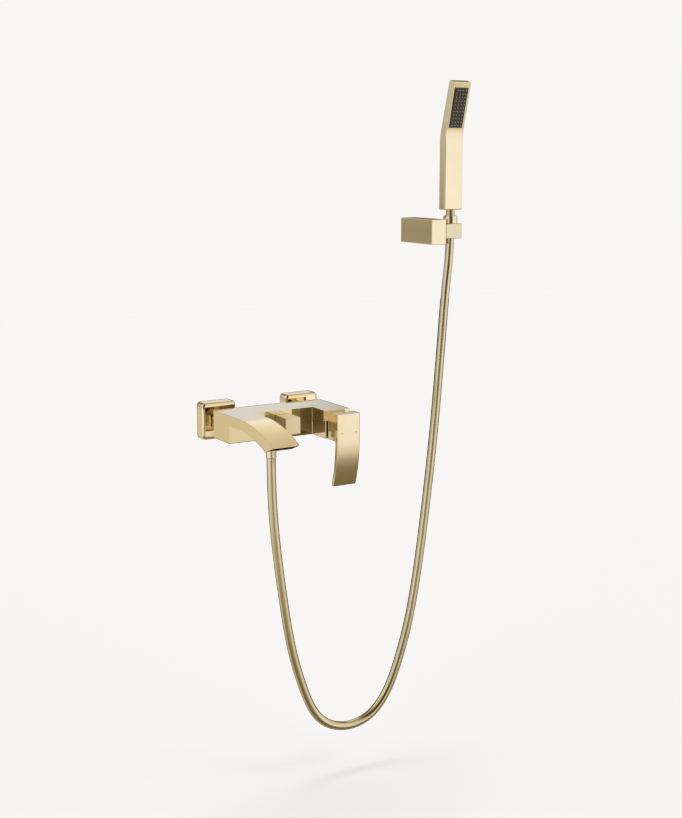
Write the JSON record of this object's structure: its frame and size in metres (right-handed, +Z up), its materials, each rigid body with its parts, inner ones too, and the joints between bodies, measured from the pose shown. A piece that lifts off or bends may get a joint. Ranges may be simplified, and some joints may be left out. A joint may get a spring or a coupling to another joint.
{
  "type": "wall mounted bath faucet",
  "caption": "Wall mounted bath faucet with a square mixer, curved flat spout, single lever, diverter knob, wall holder, hand shower and free hose.",
  "frame": {"origin": "on the finished wall, midway between the hot and cold inlets at their height", "axes": "+X along the wall to the right seen from the room, +Z up, and the room is towards -Y"},
  "size_m": [0.4485, 0.2553, 1.0828],
  "materials": {
    "champagne_body": "brushed champagne gold plating on brass",
    "hose_metal": "champagne gold double-lock metal hose, fine ridges",
    "brass": "machined brass",
    "steel": "stainless steel, turned",
    "zinc_plate": "zinc plated steel",
    "black_rubber": "EPDM rubber",
    "grey_rubber": "silicone nozzles",
    "white_plastic": "acetal",
    "ceramic": null,
    "dark_plastic": "dark grey ABS spray plate",
    "dark_insert": "dark grey plastic insert",
    "red_dot": "red enamel dot",
    "blue_dot": "blue enamel dot"
  },
  "bodies": {
    "root": {"mixer_body": "champagne_body", "escutcheon_hot": "champagne_body", "escutcheon_cold": "champagne_body", "union_nut_hot": "champagne_body", "union_nut_cold": "champagne_body", "diverter_bonnet": "champagne_body", "holder_cover": "champagne_body", "hose_nut_lower": "champagne_body", "hose_ferrule_lower": "champagne_body", "shower_hose": "hose_metal", "eccentric_union_hot": "brass", "eccentric_union_cold": "brass", "inlet_tail_hot": "brass", "inlet_tail_cold": "brass", "cartridge_retaining_ring": "brass", "diverter_sleeve": "brass", "outlet_nipple": "brass", "hose_core_lower": "brass", "holder_wall_screws": "steel", "holder_cover_screw": "steel", "holder_wall_plate": "zinc_plate", "filter_washer_hot": "black_rubber", "filter_washer_cold": "black_rubber", "cartridge_seal": "black_rubber", "hose_washer_lower": "black_rubber", "check_valve_hot": "white_plastic", "check_valve_cold": "white_plastic", "cartridge_base": "white_plastic", "cartridge_housing": "white_plastic", "tilt_bush": "white_plastic", "tilt_friction_washer": "white_plastic", "ceramic_disc_fixed": "ceramic", "spout_outlet": "dark_insert"},
    "turret": {"cartridge_turret": "white_plastic"},
    "disc": {"ceramic_disc_moving": "ceramic", "disc_carrier": "white_plastic"},
    "lever": {"stem_pivot_pin": "steel", "lever_stem": "steel", "lever": "champagne_body", "lever_set_screw": "steel", "lever_screw_plug": "dark_insert", "hot_indicator_dot": "red_dot", "cold_indicator_dot": "blue_dot"},
    "diverter": {"diverter_spindle": "brass", "diverter_seal_ring": "black_rubber", "diverter_knob": "champagne_body", "knob_set_screw": "steel"},
    "holder": {"holder_cradle": "champagne_body", "tilt_pin": "steel", "tilt_spring_washer": "steel"},
    "hose_end": {"hose_core_upper": "brass"},
    "handset": {"hose_cone_nut": "champagne_body", "hose_washer_upper": "black_rubber", "handset_inlet": "brass", "flow_regulator": "white_plastic", "handset_body": "champagne_body", "spray_plate": "dark_plastic", "nozzle_mat": "grey_rubber", "handset_gasket": "black_rubber"}
  },
  "joints": [
    {"name": "lever_turn", "type": "hinge", "parent": "root", "child": "turret", "pos_m": [0.0745, -0.13, 0], "axis": [0, -1, 0], "range_deg": [-45, 45]},
    {"name": "lever_lift", "type": "hinge", "parent": "turret", "child": "lever", "pos_m": [0.0745, -0.136, 0], "axis": [-1, 0, 0], "range_deg": [0, 20]},
    {"name": "disc_slide", "type": "slide", "parent": "turret", "child": "disc", "axis": [0, 0, -1], "range_m": [0, 0.0044]},
    {"name": "diverter_turn", "type": "hinge", "parent": "root", "child": "diverter", "pos_m": [-0.0025, -0.1, 0.002], "axis": [0, -1, 0], "range_deg": [0, 90]},
    {"name": "holder_tilt", "type": "hinge", "parent": "root", "child": "holder", "pos_m": [0.3263, -0.079, 0.2902], "axis": [1, 0, 0], "range_deg": [-20, 20], "deforming": ["shower_hose"]},
    {"name": "handset_lift", "type": "slide", "parent": "holder", "child": "hose_end", "axis": [0, 0, 1], "range_m": [0, 0.028], "deforming": ["shower_hose"]},
    {"name": "handset_swivel", "type": "hinge", "parent": "hose_end", "child": "handset", "pos_m": [0.3263, -0.079, 0.31], "axis": [0, 0, 1], "continuous": true}
  ],
  "couplings": [
    {"joint": "disc_slide", "follows": "lever_lift", "m_per_rad": 0.0122}
  ]
}
